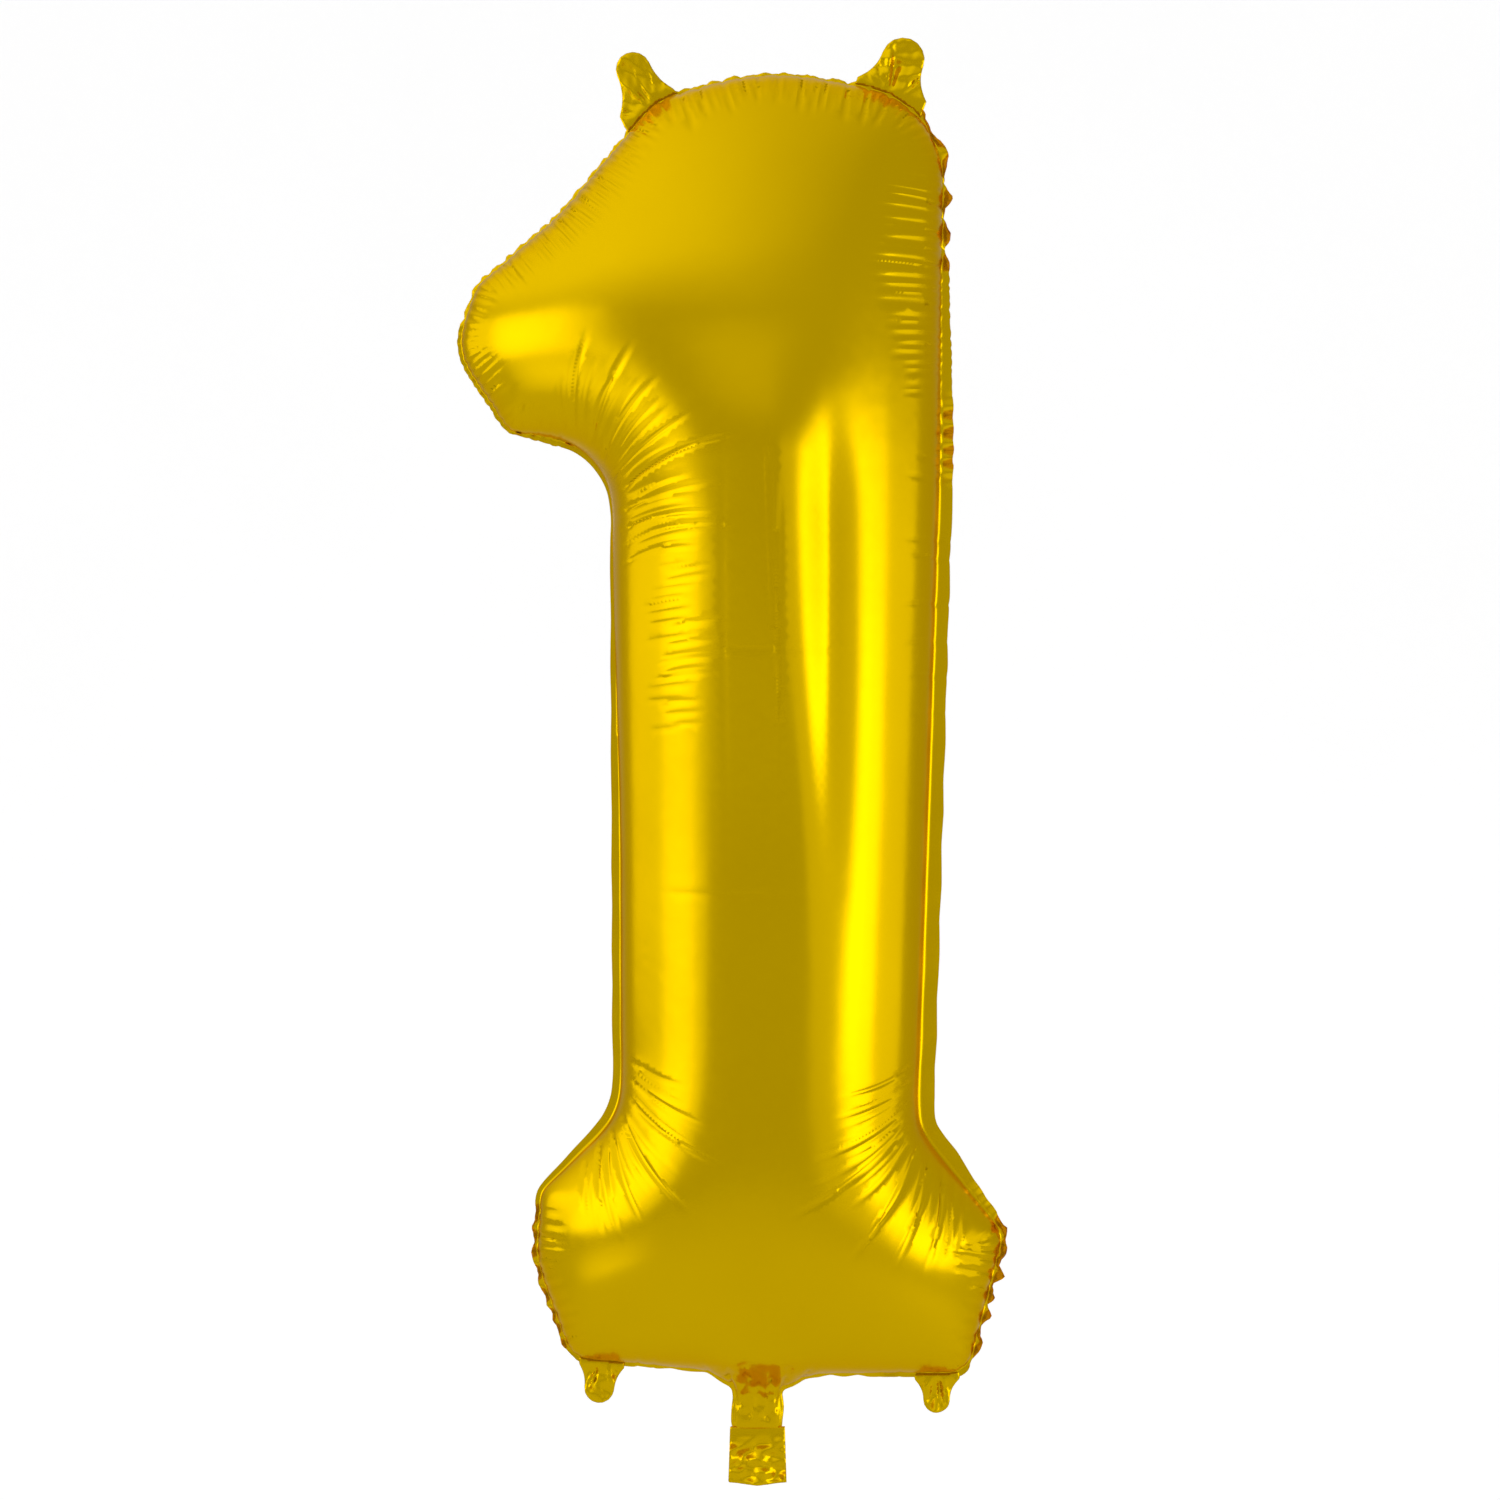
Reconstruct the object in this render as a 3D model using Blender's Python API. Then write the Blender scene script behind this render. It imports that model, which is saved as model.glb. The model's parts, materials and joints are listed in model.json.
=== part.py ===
"""Foil number balloon: an inflated figure 1 made of two film sheets sealed together round their edge.

Metres, +Z up, the front faces -Y. The origin is midway between the two top tabs, in the seam plane,
where a hanging line would pass. The film is far thinner than 0.5 mm on a real balloon; FILM is the
thinnest wall that makes a sound solid.
"""

import math

import bmesh
import bpy
import numpy as np
from mathutils import Vector
from mathutils.geometry import delaunay_2d_cdt

MM = 0.001

FILM = 0.5 * MM  # wall of each sheet
SHEET_GAP = 0.3 * MM  # between the front and the back sheet where they lie on each other
TAB_THICK = 2 * FILM  # a tab is both sheets welded into one
HINGE_GAP = 0.6 * MM  # between a flap and the edge it bends on
FOLD_GAP = 2 * MM  # between the tail's crease and its lower half, so that it can fold back on the neck

OUTLINE_STEP = 17 * MM  # longest side of the meshed outline
ARC_STEP = math.radians(22)  # largest turn between two points of a rounded corner
ROW_DEPTHS = [1.6 * MM, 6 * MM, 13 * MM, 23 * MM]  # rows of points along the inside of the seam
GRID_STEP = 25 * MM  # triangle side over the rest of the sheet

CREASE_Z = -817 * MM  # where the filling tail folds
MOUTH_Z = -848 * MM  # open end of the filling tail
TAIL_X = -7.5 * MM  # middle of the neck and tail
NECK_HALF = 13.5 * MM  # inside half width of the neck
NECK_FOOT_Z = CREASE_Z + 3.1 * MM  # where the gas space ends, just above the crease
NECK_ROOT_Z = -791 * MM
NECK_PUFF = 0.2  # how far the neck rounds out, as a share of a full tube
NECK_BLEND_TOP = -770 * MM  # above this height the body is fully round

# The inflated seam line, clockwise from the flag's tip: x, z, corner radius and flange width, in mm.
# The flange is wide where the seam is straight or hollow, and narrow where the corner gathers it in.
SEAM = [
    (-176.0, -128.5, 14, 2.5),  # flag, top of the tip
    (-126.5, -85.5, 120, 2.5),  # slanted edge, a little hollow
    (-68.5, -17.0, 36, 2.5),  # top of the slanted edge
    (-3.5, 2.0, 150, 2.5),  # crown
    (104.5, -18.0, 58, 3.5),  # top right corner
    (102.0, -240.0, 300, 8.0),  # right side, slightly tapered
    (88.5, -633.0, 36, 9.5),  # right flare of the base
    (140.0, -697.0, 15, 5.0),  # right shoulder of the base
    (118.5, -780.0, 15, 3.0),  # bottom right corner
    (27.0, -780.5, 25, 2.5),
    ((TAIL_X + NECK_HALF) / MM, -789.5, 6, 2.5),  # neck
    ((TAIL_X + NECK_HALF) / MM, NECK_FOOT_Z / MM, 3, 2.5),
    ((TAIL_X - NECK_HALF) / MM, NECK_FOOT_Z / MM, 3, 2.5),
    ((TAIL_X - NECK_HALF) / MM, -788.5, 6, 2.5),
    (-37.0, -778.5, 25, 2.5),
    (-119.0, -771.0, 15, 2.5),  # bottom left corner
    (-140.5, -712.0, 60, 3.0),
    (-137.5, -671.5, 14, 3.0),  # left shoulder of the base
    (-89.5, -624.0, 45, 5.0),  # left flare of the base
    (-90.5, -223.0, 46, 5.5),  # hollow under the flag
    (-156.5, -215.5, 12, 2.5),
    (-189.0, -167.0, 34, 2.5),  # flag, bottom of the tip
]

# Tabs: a point near the middle of the root, the tongue's direction, length, tip radius and root half
# width, in mm. The direction is the angle from straight up, positive towards +X. The root moves to the
# rim's nearest point, and its hinge line lies along the rim there.
TABS = {
    "top_left_tab": ((-71.5, -20.5), -24, 33, 10.5, 19),
    "top_right_tab": ((72.5, -12.5), 20, 32.5, 13.0, 22),
    "bottom_left_tab": ((-101.0, -776.0), 186, 23, 9.0, 14),
    "bottom_right_tab": ((100.0, -783.0), 180, 21, 8.0, 14),
}
TONGUE_ROWS = 8  # points along each side of a tongue
TIP_POINTS = 9  # points round its tip
ROOT_SPARE = 9 * MM  # film left below a tongue's root line, which the rim then trims

TAIL_HALF_TOP = 16.5 * MM
TAIL_HALF_MOUTH = 17.5 * MM
MOUTH_DIP = 2 * MM  # the cut end of the tail is longer in its middle

VALVE_FILM = 0.3 * MM
VALVE_GAP = 0.3 * MM
VALVE_HALF = 10.5 * MM
VALVE_LENGTH = 112 * MM
VALVE_FOOT_Z = CREASE_Z + 4 * MM
VALVE_TIP_CUT = 4 * MM  # the inner corners are cut off, so that they can't prick the sheets


def clear_scene():
    for obj in list(bpy.data.objects):
        bpy.data.objects.remove(obj)


def material(name, colour, roughness, metallic):
    made = bpy.data.materials.new(name)
    made.use_nodes = True
    shader = made.node_tree.nodes["Principled BSDF"]
    shader.inputs["Base Color"].default_value = (*colour, 1)
    shader.inputs["Roughness"].default_value = roughness
    shader.inputs["Metallic"].default_value = metallic
    return made


def new_object(name, mesh, finish, location=(0, 0, 0), turn_y=0.0, parent=None):
    mesh.materials.append(finish)
    obj = bpy.data.objects.new(name, mesh)
    bpy.context.scene.collection.objects.link(obj)
    obj.location = location
    obj.rotation_euler = (0, turn_y, 0)
    obj.parent = parent
    return obj


def rounded_outline(corners, step):
    """Points along a closed polygon with its corners rounded, and the flange width at each, in metres."""
    points, widths = [], []
    count = len(corners)
    for i, (x, z, radius, width) in enumerate(corners):
        here = np.array([x, z]) * MM
        before = np.array(corners[i - 1][:2]) * MM - here
        after = np.array(corners[(i + 1) % count][:2]) * MM - here
        before /= np.linalg.norm(before)
        after /= np.linalg.norm(after)
        between = math.acos(float(np.clip(before @ after, -1, 1)))
        radius *= MM
        reach = radius / math.tan(between / 2)
        turn = math.pi - between
        centre = here + (before + after) / np.linalg.norm(before + after) * radius / math.sin(between / 2)
        arms = here + before * reach - centre, here + after * reach - centre
        pieces = max(2, math.ceil(turn / ARC_STEP), math.ceil(turn * radius / step))
        for k in range(pieces + 1):
            share = k / pieces
            blend = np.sin([turn * (1 - share), turn * share]) / math.sin(turn)
            points.append(centre + blend[0] * arms[0] + blend[1] * arms[1])
            widths.append(width * MM)
    return fill_straights(np.array(points), np.array(widths), step)


def fill_straights(points, widths, step):
    """Adds evenly spaced points to each side that is longer than step."""
    full, full_widths = [], []
    for a, b, wide, next_wide in zip(points, np.roll(points, -1, 0), widths, np.roll(widths, -1)):
        pieces = max(1, math.ceil(np.linalg.norm(b - a) / step - 0.3))
        for k in range(pieces):
            share = k / pieces
            full.append(a + (b - a) * share)
            full_widths.append(wide + (next_wide - wide) * (3 - 2 * share) * share**2)
    return np.array(full), np.array(full_widths)


def outward_normals(outline):
    """Unit normals of a clockwise outline, pointing away from its inside."""
    along = np.roll(outline, -1, 0) - np.roll(outline, 1, 0)
    along /= np.linalg.norm(along, axis=1)[:, None]
    return np.stack([-along[:, 1], along[:, 0]], axis=1)


def distance_to(outline, points):
    """Each point's distance to a closed polyline."""
    start, side = outline, np.roll(outline, -1, 0) - outline
    offset = points[:, None] - start[None]
    share = np.clip((offset * side).sum(2) / (side**2).sum(1), 0, 1)
    return np.linalg.norm(offset - share[..., None] * side, axis=2).min(1)


def rim_place(outline, point):
    """The outline's nearest point, and the angle from straight up of its outward normal there."""
    start, side = outline, np.roll(outline, -1, 0) - outline
    share = np.clip(((point - start) * side).sum(1) / (side**2).sum(1), 0, 1)
    feet = start + share[:, None] * side
    best = np.linalg.norm(feet - point, axis=1).argmin()
    return feet[best], math.atan2(-side[best, 1], side[best, 0])


def is_inside(outline, points):
    """Whether each point lies inside a closed polyline."""
    start, end = outline, np.roll(outline, -1, 0)
    x, z = points[:, :1], points[:, 1:]
    spans = (start[:, 1] > z) != (end[:, 1] > z)
    rise = np.where(end[:, 1] == start[:, 1], 1, end[:, 1] - start[:, 1])
    crossing = (end[:, 0] - start[:, 0]) * (z - start[:, 1]) / rise + start[:, 0]
    return (spans & (x < crossing)).sum(1) % 2 == 1


def inner_points(seam):
    """Points inside the seam: rows that follow it, then an even triangular grid."""
    normals = outward_normals(seam)
    kept = []
    for depth in ROW_DEPTHS:
        row = seam - normals * depth
        good = is_inside(seam, row) & (distance_to(seam, row) > 0.96 * depth)
        for point in row[good]:
            near = [p for p in kept[-60:] + kept[:4] if np.linalg.norm(p - point) < 0.45 * depth]
            if not near:
                kept.append(point)
    low, high = seam.min(0), seam.max(0)
    row_step = GRID_STEP * math.sqrt(3) / 2
    grid = [
        (low[0] + (column + 0.5 * (line % 2)) * GRID_STEP, low[1] + line * row_step)
        for line in range(int((high[1] - low[1]) / row_step) + 1)
        for column in range(int((high[0] - low[0]) / GRID_STEP) + 1)
    ]
    grid = np.array(grid)
    deep = is_inside(seam, grid) & (distance_to(seam, grid) > ROW_DEPTHS[-1] + 0.5 * GRID_STEP)
    return np.array(kept + list(grid[deep]))


def triangulated(seam, rim):
    """The flat sheet as triangles: the rim outside the seam, and everything inside it."""
    inside = inner_points(seam)
    points = np.concatenate([rim, seam, inside])
    loops = [
        (first + k, first + (k + 1) % len(loop))
        for first, loop in ((0, rim), (len(rim), seam))
        for k in range(len(loop))
    ]
    border = [list(range(len(rim)))]
    made = delaunay_2d_cdt([Vector(p) for p in points], loops, border, 1, 1e-7)
    flat = np.array([tuple(p) for p in made[0]])
    return flat, np.array([list(face) for face in made[2]])


def inflated_height(flat, faces, seam):
    """Half thickness of the gas body at each point. It is the root of twice the solution of Poisson's
    equation with a unit load, which makes a straight tube exactly round."""
    free = is_inside(seam, flat) & (distance_to(seam, flat) > 1e-6)
    stiffness = np.zeros((len(flat), len(flat)))
    load = np.zeros(len(flat))
    for face in faces:
        a, b, c = flat[face]
        area = 0.5 * abs((b - a)[0] * (c - a)[1] - (b - a)[1] * (c - a)[0])
        edges = np.array([c - b, a - c, b - a])
        stiffness[np.ix_(face, face)] += edges @ edges.T / (4 * area)
        load[face] += area / 3
    height = np.zeros(len(flat))
    inner = np.flatnonzero(free)
    height[inner] = np.sqrt(2 * np.linalg.solve(stiffness[np.ix_(inner, inner)], load[inner]))
    rise = np.clip((flat[:, 1] - NECK_ROOT_Z) / (NECK_BLEND_TOP - NECK_ROOT_Z), 0, 1)
    return height * (NECK_PUFF + (1 - NECK_PUFF) * rise**2 * (3 - 2 * rise))


def sheet(name, side, flat, faces, height, finish):
    """One sheet of the envelope. Side is -1 for the front and +1 for the back."""
    depth = side * (SHEET_GAP / 2 + height)
    corners = [(x, y, z) for (x, z), y in zip(flat, depth)]
    mesh = bpy.data.meshes.new(name)
    mesh.from_pydata(corners, [], [face if side < 0 else face[::-1] for face in faces.tolist()])
    mesh.shade_smooth()
    mesh.set_sharp_from_angle(angle=math.radians(50))
    obj = new_object(name, mesh, finish)
    wall = obj.modifiers.new("film", "SOLIDIFY")
    wall.thickness = FILM
    wall.offset = 1
    wall.use_even_offset = True
    return obj


def plate(name, outline, low_y, high_y, finish, **place):
    """A flat piece between two depths, from its outline in x and z."""
    model = bmesh.new()
    face = model.faces.new([model.verts.new((x, high_y, z)) for x, z in outline])
    grown = bmesh.ops.extrude_face_region(model, geom=[face])
    moved = [item for item in grown["geom"] if isinstance(item, bmesh.types.BMVert)]
    bmesh.ops.translate(model, verts=moved, vec=(0, low_y - high_y, 0))
    bmesh.ops.recalc_face_normals(model, faces=model.faces)
    mesh = bpy.data.meshes.new(name)
    model.to_mesh(mesh)
    model.free()
    return new_object(name, mesh, finish, **place)


def tongue_outline(length, tip_radius, root_half, lean):
    """A tongue that narrows in a hollow curve to a round tip. It starts below its root, for trimming, and
    leans by an angle from the line square to the root."""
    tip_z = length - tip_radius
    side = [(root_half, -ROOT_SPARE)]
    for k in range(TONGUE_ROWS):
        share = k / TONGUE_ROWS
        side.append((tip_radius + (root_half - tip_radius) * (1 - share) ** 2.2, share * tip_z))
    tip = [
        (tip_radius * math.cos(angle), tip_z + tip_radius * math.sin(angle))
        for angle in np.linspace(0, math.pi, TIP_POINTS)
    ]
    upright = side + tip + [(-x, z) for x, z in reversed(side)]
    right, up = math.cos(lean), math.sin(lean)
    return [(x * right + z * up, z * right - x * up) for x, z in upright]


def add_tabs(rim, finish):
    """Four flaps of welded film, each trimmed to the rim that it hangs on."""
    cleared = rim + outward_normals(rim) * HINGE_GAP
    cutter = plate("rim_clearance", cleared, -TAB_THICK, TAB_THICK, finish)
    cutter.hide_render = True
    cutter.display_type = "WIRE"
    for name, (near, direction, length, tip_radius, root_half) in TABS.items():
        root, turn = rim_place(cleared, np.array(near) * MM)
        lean = math.radians(direction) - turn
        outline = tongue_outline(length * MM, tip_radius * MM, root_half * MM, lean)
        place = (root[0], 0, root[1])
        tab = plate(name, outline, -TAB_THICK / 2, TAB_THICK / 2, finish, location=place, turn_y=turn)
        trim = tab.modifiers.new("root", "BOOLEAN")
        trim.operation = "DIFFERENCE"
        trim.object = cutter


def add_tail(finish):
    """The lower half of the filling tail, below its crease: two sheets with the mouth between them."""
    fold = bpy.data.objects.new("tail_fold", None)
    fold.location = (TAIL_X, 0, CREASE_Z)
    bpy.context.scene.collection.objects.link(fold)
    mouth = MOUTH_Z - CREASE_Z
    outline = [
        (TAIL_HALF_TOP, -FOLD_GAP),
        (TAIL_HALF_MOUTH, mouth + MOUTH_DIP),
        (0, mouth),
        (-TAIL_HALF_MOUTH, mouth + MOUTH_DIP),
        (-TAIL_HALF_TOP, -FOLD_GAP),
    ]
    near, far = SHEET_GAP / 2, SHEET_GAP / 2 + FILM
    plate("tail_front_sheet", outline, -far, -near, finish, parent=fold)
    plate("tail_back_sheet", outline, near, far, finish, parent=fold)


def add_valve(finish):
    """Two films inside the neck. Gas pressure holds them shut, and a straw pushed in parts them."""
    outline = [
        (-VALVE_HALF, 0),
        (-VALVE_HALF, VALVE_LENGTH - VALVE_TIP_CUT),
        (VALVE_TIP_CUT - VALVE_HALF, VALVE_LENGTH),
        (VALVE_HALF - VALVE_TIP_CUT, VALVE_LENGTH),
        (VALVE_HALF, VALVE_LENGTH - VALVE_TIP_CUT),
        (VALVE_HALF, 0),
    ]
    near, far = VALVE_GAP / 2, VALVE_GAP / 2 + VALVE_FILM
    foot = (TAIL_X, 0, VALVE_FOOT_Z)
    plate("valve_front_film", outline, -far, -near, finish, location=foot)
    plate("valve_back_film", outline, near, far, finish, location=foot)


def main():
    clear_scene()
    gold = material("gold_foil", (0.78, 0.56, 0.02), 0.28, 1.0)
    clear = material("valve_film", (0.80, 0.82, 0.80), 0.35, 0.0)
    seam, flange = rounded_outline(SEAM, OUTLINE_STEP)
    rim = seam + outward_normals(seam) * flange[:, None]
    flat, faces = triangulated(seam, rim)
    height = inflated_height(flat, faces, seam)
    sheet("front_panel", -1, flat, faces, height, gold)
    sheet("back_panel", 1, flat, faces, height, gold)
    add_tabs(rim, gold)
    add_tail(gold)
    add_valve(clear)


main()
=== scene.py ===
"""Foil number balloon, figure 1 in gold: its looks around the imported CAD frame.

Each film sheet is a fine mesh over the CAD's own seam line, blown up to a tube's height, then creased at
its hollow corners and gathered along its seam. No cloth simulation is used.
"""

import json
import math

import bmesh
import bpy
import numpy as np
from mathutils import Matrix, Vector
from mathutils.geometry import delaunay_2d_cdt
from mathutils.kdtree import KDTree


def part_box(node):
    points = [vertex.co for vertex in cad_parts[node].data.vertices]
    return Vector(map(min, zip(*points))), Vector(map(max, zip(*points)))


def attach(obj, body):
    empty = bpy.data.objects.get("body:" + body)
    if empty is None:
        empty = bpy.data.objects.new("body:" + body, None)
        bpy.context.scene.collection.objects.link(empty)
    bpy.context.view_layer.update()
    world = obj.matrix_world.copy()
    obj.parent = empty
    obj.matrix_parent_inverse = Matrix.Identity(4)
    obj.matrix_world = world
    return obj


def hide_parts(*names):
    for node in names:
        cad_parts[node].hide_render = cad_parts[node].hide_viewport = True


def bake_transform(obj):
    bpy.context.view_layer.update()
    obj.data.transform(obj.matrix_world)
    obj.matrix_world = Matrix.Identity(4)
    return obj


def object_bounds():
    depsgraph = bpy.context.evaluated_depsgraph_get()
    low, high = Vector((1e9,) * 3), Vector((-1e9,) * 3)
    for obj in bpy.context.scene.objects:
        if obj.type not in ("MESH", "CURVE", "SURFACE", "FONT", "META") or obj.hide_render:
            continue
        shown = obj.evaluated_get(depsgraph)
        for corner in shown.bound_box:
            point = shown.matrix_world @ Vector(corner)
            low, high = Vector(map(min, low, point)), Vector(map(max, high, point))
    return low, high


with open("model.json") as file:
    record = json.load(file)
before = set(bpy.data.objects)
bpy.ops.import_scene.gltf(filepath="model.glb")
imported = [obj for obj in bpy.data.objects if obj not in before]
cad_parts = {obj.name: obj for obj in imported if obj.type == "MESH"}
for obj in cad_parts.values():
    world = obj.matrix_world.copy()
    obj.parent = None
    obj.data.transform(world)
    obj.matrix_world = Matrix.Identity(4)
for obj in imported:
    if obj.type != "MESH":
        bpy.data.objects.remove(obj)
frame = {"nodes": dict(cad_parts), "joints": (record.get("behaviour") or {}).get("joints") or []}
CAD_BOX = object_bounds()

MM = 0.001
SEED = 11

SEAM_STEP = 1.9 * MM  # points along the seam
FINE_STEP = 2.4 * MM  # mesh near the seam and round the creases
FINE_REACH = 17 * MM  # how far from the seam the fine mesh goes
FAN_REACH = 82 * MM  # and how far round each hollow corner
BORDER_CLEAR = 0.6  # share of a grid's step that it keeps clear of its border
FIXED_CLEAR = 0.62  # and of the fixed points
SOLVE_STEPS = 3000  # most steps of the dome's solver
SOLVE_LEFT = 1e-16  # and the share of the first error at which it stops
FLANGE_DEPTH = 0.17 * MM  # the flange's CAD faces lie this near the seam plane
FILM_GAP = 0.15 * MM  # from the seam plane to each sheet


# ---------------------------------------------------------------- outlines


def flat_loops(node, is_flat):
    """Closed border loops of a CAD node's faces that is_flat picks, longest area first, as x and z."""
    model = bmesh.new()
    model.from_mesh(frame["nodes"][node].data)
    bmesh.ops.remove_doubles(model, verts=model.verts, dist=1e-5)
    inside = {face for face in model.faces if is_flat(face)}
    edges = {e for f in inside for e in f.edges if sum(g in inside for g in e.link_faces) == 1}
    loops = []
    while edges:
        edge = min(edges, key=lambda e: e.index)
        edges.remove(edge)
        loop = [edge.verts[0], edge.verts[1]]
        while True:
            ahead = [e for e in loop[-1].link_edges if e in edges]
            if not ahead:
                break
            edges.remove(ahead[0])
            loop.append(ahead[0].other_vert(loop[-1]))
        points = np.array([(v.co.x, v.co.z) for v in loop[:-1]])
        loops.append(points if signed_area(points) < 0 else points[::-1])
    model.free()
    return sorted(loops, key=signed_area)


def signed_area(loop):
    after = np.roll(loop, -1, 0)
    return 0.5 * np.sum(loop[:, 0] * after[:, 1] - after[:, 0] * loop[:, 1])


def smooth_curve(loop, step):
    """A closed loop as evenly spaced points of the centripetal spline through it."""
    before, here, after, later = (np.roll(loop, k, 0) for k in (1, 0, -1, -2))
    knots = [np.zeros(len(loop))]
    for a, b in ((before, here), (here, after), (after, later)):
        knots.append(knots[-1] + np.linalg.norm(b - a, axis=1) ** 0.5)
    t0, t1, t2, t3 = (k[:, None] for k in knots)
    rows = []
    for share in np.arange(12) / 12:
        t = t1 + (t2 - t1) * share
        a1 = ((t1 - t) * before + (t - t0) * here) / (t1 - t0)
        a2 = ((t2 - t) * here + (t - t1) * after) / (t2 - t1)
        a3 = ((t3 - t) * after + (t - t2) * later) / (t3 - t2)
        b1 = ((t2 - t) * a1 + (t - t0) * a2) / (t2 - t0)
        b2 = ((t3 - t) * a2 + (t - t1) * a3) / (t3 - t1)
        rows.append(((t2 - t) * b1 + (t - t1) * b2) / (t2 - t1))
    return evenly(np.stack(rows, 1).reshape(-1, 2), step)


def evenly(loop, step):
    """A closed loop as points that lie evenly along it, about a step apart."""
    closed = np.vstack([loop, loop[:1]])
    run = np.concatenate([[0], np.cumsum(np.linalg.norm(np.diff(closed, axis=0), axis=1))])
    count = int(round(run[-1] / step))
    wanted = np.arange(count) * run[-1] / count
    return np.stack([np.interp(wanted, run, closed[:, k]) for k in (0, 1)], 1)


def outward(loop):
    """Unit normals of a clockwise loop, away from its inside."""
    along = np.roll(loop, -1, 0) - np.roll(loop, 1, 0)
    along /= np.linalg.norm(along, axis=1)[:, None]
    return np.stack([-along[:, 1], along[:, 0]], 1)


def place_on(loop, points):
    """Each point's distance to the loop, the loop's run at its foot, and whether it lies inside."""
    side = np.roll(loop, -1, 0) - loop
    length = np.linalg.norm(side, axis=1)
    run = np.concatenate([[0], np.cumsum(length)])[:-1]
    tree = KDTree(len(loop))
    for k, (x, z) in enumerate(loop):
        tree.insert((x, 0, z), k)
    tree.balance()
    after = np.array([tree.find((x, 0, z))[1] for x, z in points], dtype=int)
    before = (after - 1) % len(loop)
    found = []
    for first in (before, after):
        offset = points - loop[first]
        share = np.clip((offset * side[first]).sum(1) / length[first] ** 2, 0, 1)
        off = offset - share[:, None] * side[first]
        found.append((np.linalg.norm(off, axis=1), run[first] + share * length[first], off))
    closer = found[1][0] < found[0][0]
    gap, at = (np.where(closer, found[1][k], found[0][k]) for k in (0, 1))
    off = np.where(closer[:, None], found[1][2], found[0][2])
    inside = (off * outward(loop)[after]).sum(1) < 0
    return gap, at, inside


def smoothstep(low, high, value):
    share = np.clip((value - low) / (high - low), 0, 1)
    return share * share * (3 - 2 * share)


# ---------------------------------------------------------------- the sheet


def grid_points(loop, step):
    """A triangular grid over the loop's box."""
    low, high = loop.min(0), loop.max(0)
    row_step = step * math.sqrt(3) / 2
    rows = int((high[1] - low[1]) / row_step) + 2
    columns = int((high[0] - low[0]) / step) + 2
    row, column = np.mgrid[0:rows, 0:columns]
    x = low[0] + (column + 0.5 * (row % 2)) * step
    return np.stack([x, low[1] + row * row_step], 2).reshape(-1, 2)


def away_from(points, others, clear):
    """Which points are further than clear from all of the others."""
    tree = KDTree(len(others))
    for k, (x, z) in enumerate(others):
        tree.insert((x, 0, z), k)
    tree.balance()
    return np.array([tree.find((x, 0, z))[2] > clear for x, z in points], dtype=bool)


def filled(loop, step, fine=None, fixed=None):
    """Points and triangles of the area inside a loop: the loop's own points first, then the fixed ones,
    then an even grid, which is twice as coarse where fine says no."""
    grid = grid_points(loop, step)
    gap, _, inside = place_on(loop, grid)
    keep = inside & (gap > BORDER_CLEAR * step)
    if fine is not None:
        wide = grid_points(loop, 2 * step)
        wide_gap, _, wide_inside = place_on(loop, wide)
        wide_keep = wide_inside & ~fine(wide, wide_gap)
        keep &= fine(grid, gap)
        grid, keep = np.vstack([grid, wide]), np.concatenate([keep, wide_keep])
    grid = grid[keep]
    if fixed is not None:
        grid = np.vstack([fixed, grid[away_from(grid, fixed, FIXED_CLEAR * step)]])
    points = np.vstack([loop, grid])
    border = [(k, (k + 1) % len(loop)) for k in range(len(loop))]
    made = delaunay_2d_cdt([Vector(p) for p in points], border, [], 1, 1e-7)
    flat = np.array([tuple(p) for p in made[0]])
    faces = np.array([list(face) for face in made[2]])
    faces = faces[place_on(loop, flat[faces].mean(1))[2]]
    a, b, c = (flat[faces[:, k]] for k in range(3))
    area = (b - a)[:, 0] * (c - a)[:, 1] - (b - a)[:, 1] * (c - a)[:, 0]
    faces[area < 0] = faces[area < 0][:, ::-1]
    return flat, faces


def dome(flat, faces, held):
    """Half thickness of the gas body: the root of twice the solution of Poisson's equation with a unit
    load, which makes a straight tube exactly round. The first held points lie on the seam."""
    a, b, c = (flat[faces[:, k]] for k in range(3))
    area = 0.5 * ((b - a)[:, 0] * (c - a)[:, 1] - (b - a)[:, 1] * (c - a)[:, 0])
    edges = np.stack([c - b, a - c, b - a], 1)
    terms = (np.einsum("nik,njk->nij", edges, edges) / (4 * area[:, None, None])).ravel()
    first, second = np.repeat(faces, 3, 1).ravel(), np.tile(faces, (1, 3)).ravel()
    count = len(flat)
    load = np.bincount(faces.ravel(), np.repeat(area / 3, 3), count)
    free = np.arange(count) >= held
    own = np.bincount(first[first == second], terms[first == second], count)
    answer = np.zeros(count)
    left = load * free
    ready = left / own
    step = ready.copy()
    size = left @ ready
    target = SOLVE_LEFT * size
    for _ in range(SOLVE_STEPS):
        moved = np.bincount(first, terms * step[second], count) * free
        share = size / (step @ moved)
        answer += share * step
        left -= share * moved
        ready = left / own
        now = left @ ready
        if now < target:
            break
        step = ready + now / size * step
        size = now
    return np.sqrt(2 * np.maximum(answer, 0))


RIM, SEAM = (
    smooth_curve(loop, SEAM_STEP)
    for loop in flat_loops("front_panel", lambda f: all(abs(v.co.y) < FLANGE_DEPTH for v in f.verts))
)
NORMALS = outward(SEAM)
HELD = len(SEAM)
RUN = np.concatenate([[0], np.cumsum(np.linalg.norm(np.diff(SEAM, axis=0), axis=1))])
SEAM_LENGTH = RUN[-1] + np.linalg.norm(SEAM[-1] - SEAM[0])

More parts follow.
